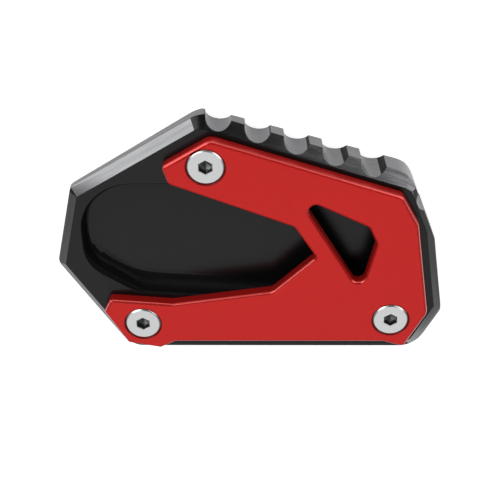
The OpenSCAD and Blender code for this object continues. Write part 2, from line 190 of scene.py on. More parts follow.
def weigh_edges(work, at_screws):
    """Gives sharp edges a bevel weight of 1, and those round a screw a smaller one."""
    layer = work.edges.layers.float.new("bevel_weight_edge")
    count = 0
    for edge in work.edges:
        if len(edge.link_faces) != 2 or edge.calc_face_angle(0.0) < sharp_angle:
            continue
        middle = (edge.verts[0].co + edge.verts[1].co) / 2
        edge[layer] = at_screws if off_screws(middle) < screw_margin else 1.0
        count += 1
    print(count, "edges are rounded")


# %% Finish a piece
def finished_piece(name, work, materials, round_mm=0.0, steps=2, node=None):
    """Turns a bmesh into a piece of the part, with rounded edges and its materials."""
    mesh = bpy.data.meshes.new(name)
    work.to_mesh(mesh)
    work.free()
    piece = bpy.data.objects.new(name, mesh)
    scene.collection.objects.link(piece)
    for left_over in ("custom_normal", "sharp_edge", "sharp_face"):
        if left_over in mesh.attributes:
            mesh.attributes.remove(mesh.attributes[left_over])
    for finish in materials:
        mesh.materials.append(finish)
    mesh.shade_smooth()
    mesh.set_sharp_from_angle(angle=sharp_angle)
    if round_mm:
        edge_round = piece.modifiers.new("edge round", "BEVEL")
        edge_round.width = round_mm * MM
        edge_round.segments = steps
        edge_round.limit_method = "WEIGHT"
        edge_round.use_clamp_overlap = False
        edge_round.harden_normals = True
    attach(piece, "root")
    if node:
        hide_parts(node)
    print(name, "has", len(mesh.polygons), "faces before its edges are rounded")


# %% [markdown]
# ## Grain that follows the tool
# Brushing and milling leave fine lines along the direction that the tool moved in. On a chamfer
# that is along the edge. A map on the piece gives each face its own flat coordinates, in metres:
# the first runs level along the face and the second runs up it. The finish can then draw its
# lines along the first.


# %% Map each face along its level direction
def map_along_faces(work):
    """A UV map in metres: u runs level along each face and v runs up it."""
    layer = work.loops.layers.uv.new("along")
    for face in work.faces:
        level = deck_up.cross(face.normal)
        level = level.normalized() if level.length > 0.05 else deck_right
        up_face = face.normal.cross(level)
        for loop in face.loops:
            loop[layer].uv = (loop.vert.co.dot(level), loop.vert.co.dot(up_face))


# %% [markdown]
# ## Shared effects
# Three effects appear in several finishes. Fine blasted grain comes from the bead blasting before
# anodising. Tool streaks are the drawn-out lines of a cutter or a brush. Handling marks are the
# broad, faint clouds that fingers and packing leave on any metal. Each is a node group that puts
# out values only, so that every finish can place it with its own amounts.


# %% Helpers for nodes and node groups
def value_group(name, inputs, outputs):
    """A shader node group with named sockets: (name, kind, value) in, (name, kind) out."""
    group = bpy.data.node_groups.new(name, "ShaderNodeTree")
    for socket_name, kind, value in inputs:
        socket = group.interface.new_socket(
            name=socket_name, in_out="INPUT", socket_type="NodeSocket" + kind)
        if value is not None:
            socket.default_value = value
    for socket_name, kind in outputs:
        group.interface.new_socket(
            name=socket_name, in_out="OUTPUT", socket_type="NodeSocket" + kind)
    entry = group.nodes.new("NodeGroupInput")
    result = group.nodes.new("NodeGroupOutput")
    return group, entry, result


def add_node(tree, kind, settings=None, **values):
    """A node with its settings and the values of its named inputs."""
    node = tree.nodes.new("ShaderNode" + kind)
    for key, value in (settings or {}).items():
        setattr(node, key, value)
    for key, value in values.items():
        node.inputs[key.replace("_", " ")].default_value = value
    return node


# %% Blasted grain
def make_blasted_grain():
    """Tiny even speckle: a mask around one half and a height."""
    group, entry, result = value_group(
        "blasted grain",
        [("Vector", "Vector", None), ("Grains per metre", "Float", 2500.0)],
        [("Speckle", "Float"), ("Height", "Float")],
    )
    fine = add_node(group, "TexNoise", Detail=3.0, Roughness=0.6)
    group.links.new(entry.outputs["Vector"], fine.inputs["Vector"])
    group.links.new(entry.outputs["Grains per metre"], fine.inputs["Scale"])
    group.links.new(fine.outputs["Fac"], result.inputs["Speckle"])
    group.links.new(fine.outputs["Fac"], result.inputs["Height"])
    return group


# %% Tool streaks
def make_tool_streaks():
    """Drawn-out lines along the first coordinate, coarse and fine together."""
    group, entry, result = value_group(
        "tool streaks",
        [("Vector", "Vector", None), ("Lines per metre", "Float", 3000.0),
         ("Line length", "Float", 0.04)],
        [("Streak", "Float"), ("Height", "Float")],
    )
    stretch = add_node(group, "CombineXYZ", Y=1.0, Z=1.0)
    drawn = add_node(group, "VectorMath", {"operation": "MULTIPLY"})
    fine = add_node(group, "TexNoise", Detail=2.0, Roughness=0.55)
    wide = add_node(group, "TexNoise", Detail=2.0, Roughness=0.5)
    wide_share = add_node(group, "Math", {"operation": "MULTIPLY"})
    wide_share.inputs[1].default_value = 0.22
    blend = add_node(group, "Mix", {"data_type": "FLOAT"}, Factor=0.45)
    links = group.links
    links.new(entry.outputs["Line length"], stretch.inputs["X"])
    links.new(entry.outputs["Vector"], drawn.inputs[0])
    links.new(stretch.outputs["Vector"], drawn.inputs[1])
    links.new(drawn.outputs["Vector"], fine.inputs["Vector"])
    links.new(drawn.outputs["Vector"], wide.inputs["Vector"])
    links.new(entry.outputs["Lines per metre"], fine.inputs["Scale"])
    links.new(entry.outputs["Lines per metre"], wide_share.inputs[0])
    links.new(wide_share.outputs["Value"], wide.inputs["Scale"])
    links.new(fine.outputs["Fac"], blend.inputs["A"])
    links.new(wide.outputs["Fac"], blend.inputs["B"])
    links.new(blend.outputs["Result"], result.inputs["Streak"])
    links.new(blend.outputs["Result"], result.inputs["Height"])
    return group


# %% Handling marks
def make_handling_marks():
    """Broad faint clouds, from none at 0 to full at 1."""
    group, entry, result = value_group(
        "handling marks",
        [("Vector", "Vector", None), ("Clouds per metre", "Float", 45.0)],
        [("Cloud", "Float")],
    )
    cloud = add_node(group, "TexNoise", Detail=5.0, Roughness=0.62, Distortion=0.4)
    spread = add_node(group, "MapRange", From_Min=0.35, From_Max=0.72)
    group.links.new(entry.outputs["Vector"], cloud.inputs["Vector"])
    group.links.new(entry.outputs["Clouds per metre"], cloud.inputs["Scale"])
    group.links.new(cloud.outputs["Fac"], spread.inputs["Value"])
    group.links.new(spread.outputs["Result"], result.inputs["Cloud"])
    return group


# %% Build the three effects
blasted_grain = make_blasted_grain()
tool_streaks = make_tool_streaks()
handling_marks = make_handling_marks()
print("effects:", blasted_grain.name, "/", tool_streaks.name, "/", handling_marks.name)

# %% [markdown]
# ## Starting a finish
# Every finish here is a metal under a thin layer, so all of them start from one Principled BSDF.
# Numbers that are the same all over, such as the metallic amount or the coat, stay on the shader's
# own sockets. Only what changes over the surface is linked: colour, roughness and bump.


# %% Helpers to start a material
def new_finish(name, **values):
    """A material with a plain Principled BSDF; values set its named inputs."""
    material = bpy.data.materials.new(name)
    material.use_nodes = True
    tree = material.node_tree
    shader = tree.nodes["Principled BSDF"]
    for key, value in values.items():
        shader.inputs[key.replace("_", " ")].default_value = value
    return material, tree, shader


def place_group(tree, group, source, **values):
    """Places a shared effect in a material and sets its named inputs."""
    node = tree.nodes.new("ShaderNodeGroup")
    node.node_tree = group
    tree.links.new(source, node.inputs["Vector"])
    for key, value in values.items():
        node.inputs[key.replace("_", " ")].default_value = value
    return node


def link_shade(tree, shader, factor, dark, light):
    """Links a colour that runs from dark to light over the middle of a factor's range."""
    ramp = add_node(tree, "ValToRGB")
    for element, position, colour in zip(ramp.color_ramp.elements, (0.3, 0.7), (dark, light)):
        element.position = position
        element.color = (*colour, 1.0)
    tree.links.new(factor, ramp.inputs["Fac"])
    tree.links.new(ramp.outputs["Color"], shader.inputs["Base Color"])


def link_roughness(tree, shader, factor, start, end, low, high):
    """Links a roughness that runs from low to high as a factor runs from start to end."""
    node = add_node(tree, "MapRange", From_Min=start, From_Max=end, To_Min=low, To_Max=high)
    tree.links.new(factor, node.inputs["Value"])
    tree.links.new(node.outputs["Result"], shader.inputs["Roughness"])


def link_relief(tree, shader, height, relief_mm):
    """Turns a height into a fine relief on the shader's normal."""
    bump = add_node(tree, "Bump", Strength=1.0, Distance=relief_mm * MM)
    tree.links.new(height, bump.inputs["Height"])
    tree.links.new(bump.outputs["Normal"], shader.inputs["Normal"])


def blasted_surface(tree, shader, dark, light, rough, grains, clouds, relief_mm):
    """The colour, roughness and relief of dyed aluminium that was blasted with beads."""
    where = tree.nodes.new("ShaderNodeTexCoord").outputs["Object"]
    grain = place_group(tree, blasted_grain, where, Grains_per_metre=grains)
    marks = place_group(tree, handling_marks, where, Clouds_per_metre=clouds)
    link_shade(tree, shader, grain.outputs["Speckle"], dark, light)
    link_roughness(tree, shader, marks.outputs["Cloud"], 0.0, 1.0, rough, rough + 0.05)
    link_relief(tree, shader, grain.outputs["Height"], relief_mm)


# %% [markdown]
# ## Black anodised deck
# The top of the thick plate and the pocket that the stand's foot rests in are satin black: bead
# blasted aluminium with a dyed oxide layer. The dye hides the metal, so the layer behaves like a
# dark ceramic, with a weak reflection that blasting has spread wide. In the pocket's walls and
# in its round along the front, and on the front chamfer, which faces away from the lights, the
# black has almost no reflection: painted shade, so that these faces stay dark.

# %% Black anodised finishes
def black_finish(name, dark, light, gloss, rough):
    """Black dye over blasted aluminium."""
    material, tree, shader = new_finish(name, Metallic=0.0, Specular_IOR_Level=gloss)
    blasted_surface(tree, shader, dark, light, rough, grains=2600.0, clouds=38.0, relief_mm=0.004)
    print("finish:", name)
    return material


deck_black = black_finish(
    "black_anodised", (0.0040, 0.0040, 0.0042), (0.0070, 0.0070, 0.0074), gloss=0.29, rough=0.23)
# Painted shade: the pocket's walls, and its round along the front, take this dull black, which has
# almost no reflection, so that they stay dark.
pocket_shade_black = black_finish(
    "black_pocket_painted_shade", (0.0030, 0.0030, 0.0032), (0.0060, 0.0060, 0.0063), gloss=0.07, rough=0.42)
# Painted shade: the front chamfer faces away from the lights, and this black, with almost no
# reflection, keeps it dark.
front_shade_black = black_finish(
    "black_front_chamfer_painted_shade", (0.0100, 0.0100, 0.0104), (0.0170, 0.0170, 0.0176),
    gloss=0.02, rough=0.45)

# %% [markdown]
# ## Machined black facets
# The chamfers and side walls were cut by a polished tool, so under the same dye the metal shines
# through more. They look like dark steel, with fine lines along each edge, and they mirror the
# studio: white where a light is, black where nothing is. The chamfer that runs into the grip has
# deeper lines, with more contrast.

# %% Machined black finishes
def machined_finish(name, dark, light, rough, relief_mm):
    """Tool-marked aluminium under black dye, with lines along each edge."""
    material, tree, shader = new_finish(name, Metallic=1.0)
    along = tree.nodes.new("ShaderNodeUVMap")
    along.uv_map = "along"
    where = tree.nodes.new("ShaderNodeTexCoord").outputs["Object"]
    streaks = place_group(
        tree, tool_streaks, along.outputs["UV"], Lines_per_metre=3200.0, Line_length=0.03)
    marks = place_group(tree, handling_marks, where, Clouds_per_metre=60.0)
    link_shade(tree, shader, streaks.outputs["Streak"], dark, light)
    link_roughness(tree, shader, marks.outputs["Cloud"], 0.0, 1.0, rough, rough + 0.06)
    link_relief(tree, shader, streaks.outputs["Height"], relief_mm)
    print("finish:", name)
    return material


chamfer_black = machined_finish(
    "machined_chamfer", (0.125, 0.126, 0.130), (0.200, 0.201, 0.206),
    rough=0.18, relief_mm=0.0035)
grip_black = machined_finish(
    "machined_grip_chamfer", (0.060, 0.061, 0.064), (0.225, 0.226, 0.232),
    rough=0.18, relief_mm=0.007)
wall_black = machined_finish(
    "machined_wall", (0.125, 0.126, 0.130), (0.190, 0.191, 0.196),
    rough=0.30, relief_mm=0.003)

# %% [markdown]
# ## Red anodised clamp
# The clamp plate is bright red. Red dye lets the aluminium below shine through, so the finish is
# partly metallic: its reflections are red. The sealed oxide on top adds a thin colourless gloss,
# which turns the brightest edges pink. The plate's upright sides take a darker red. The window's
# broken edges take a darker, duller red, painted shade that keeps them dark, and the countersinks
# round the screw heads a near-black red, a painted shadow in the gap round each head.

# %% Red anodised finishes
def red_finish(name, dark, light, metal, gloss, rough):
    """Red dye over blasted aluminium; gloss is the clear share of the reflection."""
    material, tree, shader = new_finish(
        name, Metallic=metal, Specular_IOR_Level=gloss, Coat_Weight=gloss, Coat_Roughness=0.15)
    blasted_surface(tree, shader, dark, light, rough, grains=2200.0, clouds=30.0, relief_mm=0.003)
    print("finish:", name)
    return material


clamp_red = red_finish(
    "red_anodised", (0.620, 0.0120, 0.0100), (0.710, 0.0165, 0.0135),
    metal=0.35, gloss=0.17, rough=0.30)
clamp_edge_red = red_finish(
    "red_broken_edge", (0.60, 0.030, 0.024), (0.69, 0.044, 0.036),
    metal=0.62, gloss=0.68, rough=0.24)
side_red = red_finish(
    "red_milled_side", (0.37, 0.0085, 0.0070), (0.45, 0.0120, 0.0100),
    metal=0.35, gloss=0.14, rough=0.34)
# Painted shade: the window's broken edges take a darker, duller red, so that they stay dark.
window_shade_red = red_finish(
    "red_window_edge_painted_shade", (0.36, 0.0080, 0.0066), (0.46, 0.0120, 0.0100),
    metal=0.50, gloss=0.16, rough=0.40)
# Painted shadow: the countersinks round the screw heads take a near-black red, which stands for
# the shade in the gap round each head.
countersink_shadow_red = red_finish(
    "red_countersink_painted_shadow", (0.150, 0.0050, 0.0040), (0.220, 0.0080, 0.0065),
    metal=0.30, gloss=0.10, rough=0.45)

# %% [markdown]
# ## Stainless steel for the screws
# The screw heads are turned on a lathe, which leaves rings round their middle. The rings need a
# map that is wound round each screw's own axis, so the screws get one: its first coordinate goes
# round and its second goes outwards. Inside the socket the steel is dark: painted shade for the
# deep recess, together with the thread oil that gathers there, on steel that is pressed, not
# turned.

# %% Steel finishes
def steel_finish(name, dark, light, rough, rings):
    """Bare steel with rings that follow the wound map."""
    material, tree, shader = new_finish(name, Metallic=1.0)
    wound = tree.nodes.new("ShaderNodeUVMap")
    wound.uv_map = "along"
    streaks = place_group(
        tree, tool_streaks, wound.outputs["UV"], Lines_per_metre=rings, Line_length=0.02)
    link_shade(tree, shader, streaks.outputs["Streak"], dark, light)
    link_roughness(tree, shader, streaks.outputs["Streak"], 0.3, 0.7, rough + 0.04, rough)
    link_relief(tree, shader, streaks.outputs["Height"], 0.003)
    print("finish:", name)
    return material


turned_steel = steel_finish(
    "turned_steel", (0.60, 0.61, 0.61), (0.72, 0.73, 0.73), rough=0.26, rings=3400.0)
# Painted shade: the socket's walls and floor take a dark steel that stands for the shade in the
# recess, together with the oil there.
socket_shade_steel = steel_finish(
    "socket_wall_steel_painted_shade", (0.10, 0.10, 0.10), (0.20, 0.20, 0.20), rough=0.40, rings=2200.0)
drilled_shade_steel = steel_finish(
    "socket_floor_steel_painted_shade", (0.26, 0.26, 0.26), (0.38, 0.38, 0.38), rough=0.46, rings=2200.0)

# %% [markdown]
# ## The rings of the pocket
# The pocket's front wall runs into its floor in a wide, soft round, as a ball-nosed cutter leaves
# it, and its sides meet the floor in a tight one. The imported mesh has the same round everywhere,
# in five rings of corners. No new shape is needed: the rings of the copy are found, and later
# moved. Each corner's height over the floor tells how far up the round it lies, as the angle that
# the surface has turned through between the floor and the wall.

# %% Sizes of the pocket, in mm
pocket_middle = Vector((-19.9, -1.0, 4.24)) * MM
pocket_depth = 5.4
milled_round = 1.6
front_round = 4.2
side_round = 0.69
wall_slope = math.radians(6)
floor_border = 0.5
near_enough = 0.02


# %% Faces of the pocket
def is_level(face):
    """Whether a face is parallel to the deck, to within ten degrees."""
    return abs(face.normal.dot(deck_up)) > 0.985


def faces_pocket(face):
    """Whether a face is a wall of the pocket, leaning back from its middle."""
    outwards = (face.calc_center_median() - pocket_middle).normalized()
    return face.normal.dot(outwards) < -0.05 and face.normal.dot(deck_up) > 0.02


def top_level(work):
    """How high the highest corner lies along the deck's direction."""
    return max(vertex.co.dot(deck_up) for vertex in work.verts)


# %% Rings of the floor's round
def find_rings(work):
    """The corners of the pocket's floor round, each with its turn from floor to wall."""
    turns = {}
    deck_level = top_level(work)
    for vertex in work.verts:
        over_floor = (vertex.co.dot(deck_up) - deck_level) / MM + pocket_depth
        if not -near_enough < over_floor < milled_round + near_enough:
            continue
        if all(is_level(face) or faces_pocket(face) for face in vertex.link_faces):
            turns[vertex] = math.acos(min(1.0, max(0.0, 1.0 - over_floor / milled_round)))
    return turns


def same_ring(edge, turns):
    """Whether an edge runs along a ring and not from one ring to the next."""
    first, second = (turns.get(vertex, -1.0) for vertex in edge.verts)
    return first >= 0.0 and abs(first - second) < 0.1


# %% [markdown]
# ## A softer round in the pocket
# Every ring moves to its place on the new round: in over the floor and a little up the wall along
# the front, and out towards the wall at the sides. The cutter also swings wide round the corners,
# so the rings are relaxed, most at the floor and not at all at the wall. That needs corners along
# the straight stretches too, so these are parted first. A narrow border inside the floor keeps
# the rest of it flat in the shading.

# %% Part the straight stretches
longest_edge = 1.9
parted_edge = 1.4


def part_long_edges(work, turns):
    """Parts the long straight edges of the rings, with as many cuts in each ring."""
    groups = {}
    for edge in work.edges:
        if same_ring(edge, turns) and edge.calc_length() > longest_edge * MM:
            run = (edge.verts[0].co - edge.verts[1].co).normalized()
            stretch = (abs(round(run.x, 1)), abs(round(run.y, 1)), edge.verts[0].co.y > 0)
            groups.setdefault(stretch, []).append(edge)
    for edges in groups.values():
        cuts = int(max(edge.calc_length() for edge in edges) / (parted_edge * MM))
        bmesh.ops.subdivide_edges(work, edges=edges, cuts=cuts, use_grid_fill=True)
    work.normal_update()
    print(len(groups), "straight stretches of the pocket's round are parted")


# %% Move and relax the rings
corner_steps = 45


def move_rings(turns):
    """Moves each ring to its place on the new round, wide along the front, tight at the sides."""
    places = {}
    for vertex, turn in turns.items():
        sides = [across_deck(face.normal).normalized() for face in vertex.link_faces
                 if across_deck(face.normal).length > 0.05]
        inwards = sum(sides, Vector()).normalized()
        at_front = max(0.0, inwards.dot(deck_back)) ** 5
        grow = side_round + (front_round - side_round) * at_front - milled_round
        step = grow * (1 - math.sin(turn) - math.tan(wall_slope)) / inwards.dot(sides[0])
        places[vertex] = vertex.co + (inwards * step + deck_up * grow * (1 - math.cos(turn))) * MM
    for vertex, place in places.items():
        vertex.co = place


def relax_rings(turns):
    """Draws each corner towards the middle of its two neighbours, most at the floor."""
    beside = {vertex: [edge.other_vert(vertex) for edge in vertex.link_edges
                       if same_ring(edge, turns)] for vertex in turns}
    for step in range(corner_steps):
        moves = {}
        for vertex, turn in turns.items():
            if step < corner_steps * (1 - turn / math.radians(90)) and len(beside[vertex]) == 2:
                middle = (beside[vertex][0].co + beside[vertex][1].co) / 2
                moves[vertex] = vertex.co.lerp(middle, 0.5)
        for vertex, place in moves.items():
            vertex.co = place


# %% Soften the pocket
def soften_pocket(work):
    """Gives the pocket its wide round at the front and a flat border round its floor."""
    part_long_edges(work, find_rings(work))
    turns = find_rings(work)
    move_rings(turns)
    relax_rings(turns)
    work.normal_update()
    floor_face = max((face for face in work.faces if is_level(face)
                      and all(vertex in turns for vertex in face.verts)),
                     key=lambda face: face.calc_area())
    bmesh.ops.inset_region(
        work, faces=[floor_face], thickness=floor_border * MM, use_even_offset=True)
    print(len(turns), "corners moved to a round of", side_round, "to", front_round, "mm")


# %% [markdown]
# ## Which black goes where
# The deck and the pocket's floor, which the blasting reached, are satin, and the chamfers and
# outer walls are machined. In the pocket's round the satin fades towards the front: at the sides
# it climbs nearly to the wall, and along the front it ends at the floor. The rest of the round and
# the pocket's walls take the dull black, painted shade that keeps them dark. The short facets that
# blunt the corners between two chamfers stay satin black. A face is told by where it faces: the
# dot product of its normal and a direction is 1 where they agree and 0 where they are square.

# %% Faces that are satin
satin_mouth = 0.93
steepest_satin = 0.70


def is_satin(face, deck_level):
    """Whether a face takes the satin black; the pocket's other faces take the dull black of
    painted shade.
    """
    rise = face.normal.dot(deck_up)
    depth = (deck_level - face.calc_center_median().dot(deck_up)) / MM
    if depth < pocket_depth / 2 or not faces_pocket(face):
        return is_level(face) or faces_pocket(face) and rise > satin_mouth
    flatness = (rise - steepest_satin) / (1 - steepest_satin)
    toward_back = across_deck(face.normal).normalized().dot(deck_back)
    return rise > 0.999 or flatness > 0 and toward_back < 0.8 * flatness ** 4


# %% Choose the black of a face
chamfer_rise = 55
grip_chamfer = 72
blunt_corners = (87, 105, 144)


def base_finish(face, deck_level):
    """The black of one face of the base plate."""
    rise = face.normal.dot(deck_up)
    upright = abs(rise) < 0.3
    corner = any(face.normal.dot(deck_direction(azimuth, chamfer_rise)) > 0.995
                 for azimuth in blunt_corners)
    if is_satin(face, deck_level) or corner and not upright:
        return deck_black
    # Pocket faces that are not satin take the dull black of painted shade.
    if faces_pocket(face):
        return pocket_shade_black
    if upright:
        return wall_black
    # The front chamfer takes the black of painted shade.
    if face.normal.dot(deck_back) < -0.5 and rise > 0:
        return front_shade_black
    if face.normal.dot(deck_direction(grip_chamfer, chamfer_rise)) > 0.99:
        return grip_black
    return chamfer_black


# %% [markdown]
# ## The thick base plate
# The base is a milled block of aluminium with a wedge-shaped underside, five finger scallops on
# its grip side and a pocket for the stand's foot. Its merged copy keeps every measured face apart
# from the pocket's round, and each face gets its own black.

# %% Base plate
base_blacks = [deck_black, chamfer_black, wall_black, pocket_shade_black, grip_black, front_shade_black]
base_work = merged_copy("base_plate")
soften_pocket(base_work)
map_along_faces(base_work)
base_level = top_level(base_work)
for face in base_work.faces:
    face.material_index = base_blacks.index(base_finish(face, base_level))
weigh_edges(base_work, 0.5)
finished_piece(
    "base_plate_body", base_work, base_blacks, round_mm=0.2, steps=2, node="base_plate")

# %% [markdown]
# ## The clamp plate
# The clamp is a flat plate, 4 mm thick, with a fork that reaches round the stand's foot and a
# window milled through it. Its top edges are broken by a small chamfer, which the copy rounds on
# both sides, so that a soft bright line runs along it. The edges at the front, which face away
# from the camera, keep the red of the plate. Those of the window take a darker, duller red, and
# the countersinks round the screws a near-black red: painted shade and painted shadow.

# %% Choose the red of a face
window_middle = Vector((29.5, 0.5, 16.0)) * MM
window_reach = 12.3 * MM


def clamp_finish(face):
    """The red of one face of the clamp plate."""
    middle = face.calc_center_median()
    rise = face.normal.dot(deck_up)
    if abs(rise) < 0.1:
        return side_red
    if not 0.1 < rise < 0.98 or face.normal.dot(deck_back) <= -0.35:
        return clamp_red
    # Faces round a screw take the near-black red of the painted shadow.
    if off_screws(middle) <= screw_margin:
        return countersink_shadow_red
    # The window's broken edges take the darker red of painted shade.
    if across_deck(middle - window_middle).length < window_reach:
        return window_shade_red
    return clamp_edge_red


# %% Clamp plate
clamp_reds = [clamp_red, clamp_edge_red, countersink_shadow_red, window_shade_red, side_red]
clamp_work = merged_copy("clamp_plate")
map_along_faces(clamp_work)
weigh_edges(clamp_work, 0.1)
for face in clamp_work.faces:
    face.material_index = clamp_reds.index(clamp_finish(face))
finished_piece(
    "clamp_plate_body", clamp_work, clamp_reds, round_mm=0.40, steps=5,
    node="clamp_plate")

# %% [markdown]
# ## A thread from one outline
# A body of revolution is an outline that is spun round an axis. A thread is the same idea with one
# more movement: a zigzag outline that is spun once while it climbs by one pitch joins up with
# itself into a true helix. It is spun longer than it has to be and then cut square at both ends.

# %% Spin an outline round the axis
turns_round = 48
pitch = 1.0


def spun(work, outline, rise=0.0):
    """Spins a row of (radius, height) points, in mm; rise is what it climbs in one turn."""
    corners = [work.verts.new((r * MM, 0.0, z * MM)) for r, z in outline]
    edges = [work.edges.new(pair) for pair in zip(corners, corners[1:])]
    bmesh.ops.spin(
        work, geom=corners + edges, cent=(0, 0, 0), axis=(0, 0, 1),
        dvec=(0, 0, rise * MM / turns_round), angle=2 * math.pi, steps=turns_round,
        use_merge=not rise, use_duplicate=False)
    bmesh.ops.remove_doubles(work, verts=work.verts, dist=2 * weld_reach)


def spun_thread(work, tooth, top, bottom):
    """A helix between two heights, in mm; tooth is a row of (radius, share of the pitch)."""
    zigzag = []
    level = top + 2 * pitch
    while level > bottom - 2 * pitch:
        zigzag += [(radius, level - share * pitch) for radius, share in tooth]
        level -= pitch
    spun(work, zigzag, pitch)
    for height, outside in ((top, 1), (bottom, -1)):
        bmesh.ops.bisect_plane(
            work, geom=work.verts[:] + work.edges[:] + work.faces[:], dist=weld_reach / 2,
            plane_co=(0, 0, height * MM), plane_no=(0, 0, outside), clear_outer=True)


def open_loop(work, at_height):
    """The open edges at one height, in mm."""
    return [edge for edge in work.edges if edge.is_boundary
            and all(abs(v.co.z / MM - at_height) < 0.01 for v in edge.verts)]


# %% [markdown]
# ## Countersunk screws
# An M6 countersunk screw has a flat head with a thin rim, a cone under it, a hexagon socket and a
# rolled thread with a chamfered tip. The thread comes first. The head is spun on top of it, and
# the socket grows down into the head from an open loop, one ring at a time.

# %% Sizes of a screw, in mm
head_r = 5.7
rim_depth = 0.45
rim_top = 0.32
flat_r = 5.26
mouth_r = 2.8
neck_r = 3.05
neck_z = -3.15
core_r = 3.0
root_r = 2.42
tip_z = -12.0
tip_r = 2.0
socket_af = 4.0
socket_depth = 2.4
mouth_break = 0.16
drill_r = 1.8
drill_depth = 1.05
drill_point_r = 0.05


# %% Thread of the screw
def add_thread(work):
    """A helical thread from the neck to the tip, closed at the tip and open at the neck."""
    thread = bmesh.new()
    tooth = ((root_r, 0.0), (core_r, 0.40), (core_r, 0.56), (root_r, 0.96))
    spun_thread(thread, tooth, neck_z, tip_z)
    for vertex in thread.verts:
        radius = vertex.co.xy.length / MM
        limit = tip_r + (vertex.co.z / MM - tip_z)
        if radius > limit:
            vertex.co.xy *= limit / radius
    bmesh.ops.remove_doubles(thread, verts=thread.verts, dist=2 * weld_reach)
    bmesh.ops.holes_fill(thread, edges=open_loop(thread, tip_z), sides=0)
    part = bpy.data.meshes.new("thread")
    thread.to_mesh(part)
    thread.free()
    work.from_mesh(part)
    bpy.data.meshes.remove(part)


# %% Grow a loop inwards
def grow_loop(work, loop, radius_at, height):
    """Extrudes an open loop; radius_at gives the new radius at each angle, in mm."""
    grown = bmesh.ops.extrude_edge_only(work, edges=loop)["geom"]
    corners = [item for item in grown if isinstance(item, bmesh.types.BMVert)]
    for vertex in corners:
        angle = math.atan2(vertex.co.y, vertex.co.x)
        vertex.co.xy *= radius_at(angle) * MM / vertex.co.xy.length
        vertex.co.z = height * MM
    return [item for item in grown if isinstance(item, bmesh.types.BMEdge) and item.is_boundary]


def hexagon(across_flats):
    """The radius of a hexagon at an angle, with corners fore and aft."""
    sixth = math.pi / 3
    return lambda angle: across_flats / 2 / math.cos((angle - sixth / 2) % sixth - sixth / 2)


# %% Head and socket
def screw_work():
    """A whole screw: its axis is z and the middle of its head's top face is the origin."""
    work = bmesh.new()
    add_thread(work)
    head = [
        (neck_r, neck_z), (head_r, -rim_depth), (head_r, -rim_top),
        (head_r - 0.05, -rim_top + 0.06), (flat_r, 0.0), (flat_r - 0.1, 0.0), (mouth_r, 0.0),
    ]
    spun(work, head)
    bmesh.ops.triangle_fill(work, edges=open_loop(work, neck_z), use_beauty=True)
    loop = open_loop(work, 0.0)
    rings = (
        (hexagon(socket_af + 2 * mouth_break), 0.0),
        (hexagon(socket_af), -mouth_break),
        (hexagon(socket_af), -socket_depth),
        (lambda angle: drill_r, -socket_depth),
        (lambda angle: drill_point_r, -socket_depth - drill_depth),
    )
    for radius_at, height in rings:
        loop = grow_loop(work, loop, radius_at, height)
    bmesh.ops.holes_fill(work, edges=loop, sides=0)
    bmesh.ops.recalc_face_normals(work, faces=work.faces)
    return work


# %% Wind the map, choose the steel, stand the screw up
def wind_map(work):
    """A UV map that runs round the screw first and outwards second, in metres."""
    layer = work.loops.layers.uv.new("along")
    for face in work.faces:
        for loop in face.loops:
            x, y, z = loop.vert.co
            loop[layer].uv = (math.atan2(y, x) * MM, math.hypot(x, y) - z)


def screw_finish(face):
    """The steel of one face of a screw."""
    middle = face.calc_center_median()
    in_socket = (middle.xy.length < 0.6 * socket_af * MM
                 and middle.z > -(socket_depth + drill_depth) * MM)
    if not in_socket or face.normal.z > 0.99:
        return turned_steel
    # Socket faces take the dark steel of painted shade.
    return socket_shade_steel if abs(face.normal.z) < 0.3 else drilled_shade_steel


def stand_up(work, node):
    """Moves what was made round the z axis to where a packed screw stands."""
    place = Matrix.Translation(screw_heads[node]) @ deck_turn.to_4x4()
    bmesh.ops.transform(work, matrix=place, verts=work.verts)


# %% Make the three screws
steels = [turned_steel, socket_shade_steel, drilled_shade_steel]


def make_screw(name, node):
    """One screw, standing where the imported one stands."""
    work = screw_work()
    wind_map(work)
    for face in work.faces:
        face.material_index = steels.index(screw_finish(face))
    stand_up(work, node)
    print(name, "open edges:", count_open(work))
    finished_piece(name, work, steels, node=node)


for node in screw_heads:
    make_screw(node + "_turned", node)

# %% [markdown]
# ## The open end of a tapped hole
# The base is thickest at its lower right, so that screw ends some way inside its hole. From below
# the tapped thread is in plain sight there. It is the screw's thread turned inside out: a ring
# whose inner side is the same spun zigzag, set into the wall of the hole so that no gap shows.

# %% Sizes of the tapped thread, in mm
hole_r = 3.08
crest_r = 2.52
set_in_r = 3.35
under_tip = 0.25
above_ground = 0.95


# %% Tapped thread
def tapped_thread(name, node):
    """A ring of internal thread, from just under the screw's tip to the hole's broken edge."""
    top = tip_z - under_tip
    bottom = above_ground - screw_heads[node].z / MM / deck_up.z
    tooth = ((hole_r, 0.0), (crest_r, 0.43), (crest_r, 0.55), (hole_r, 0.94))
    work = bmesh.new()
    spun_thread(work, tooth, top, bottom)
    spun(work, [(set_in_r, top), (set_in_r, bottom)])
    for height in (top, bottom):
        bmesh.ops.triangle_fill(work, edges=open_loop(work, height), use_beauty=True)
    bmesh.ops.recalc_face_normals(work, faces=work.faces)
    wind_map(work)
    stand_up(work, node)
    print(name, round(top - bottom, 2), "mm long, open edges:", count_open(work))
    finished_piece(name, work, [wall_black])


tapped_thread("tapped_thread_lower_right", "screw_lower_right")

# %% [markdown]
# ## The studio floor
# The part lies on a white sweep. The floor is an ordinary pale surface that takes the object's
# shadow, and it glows a little to the camera and to reflections, so that it comes out white.

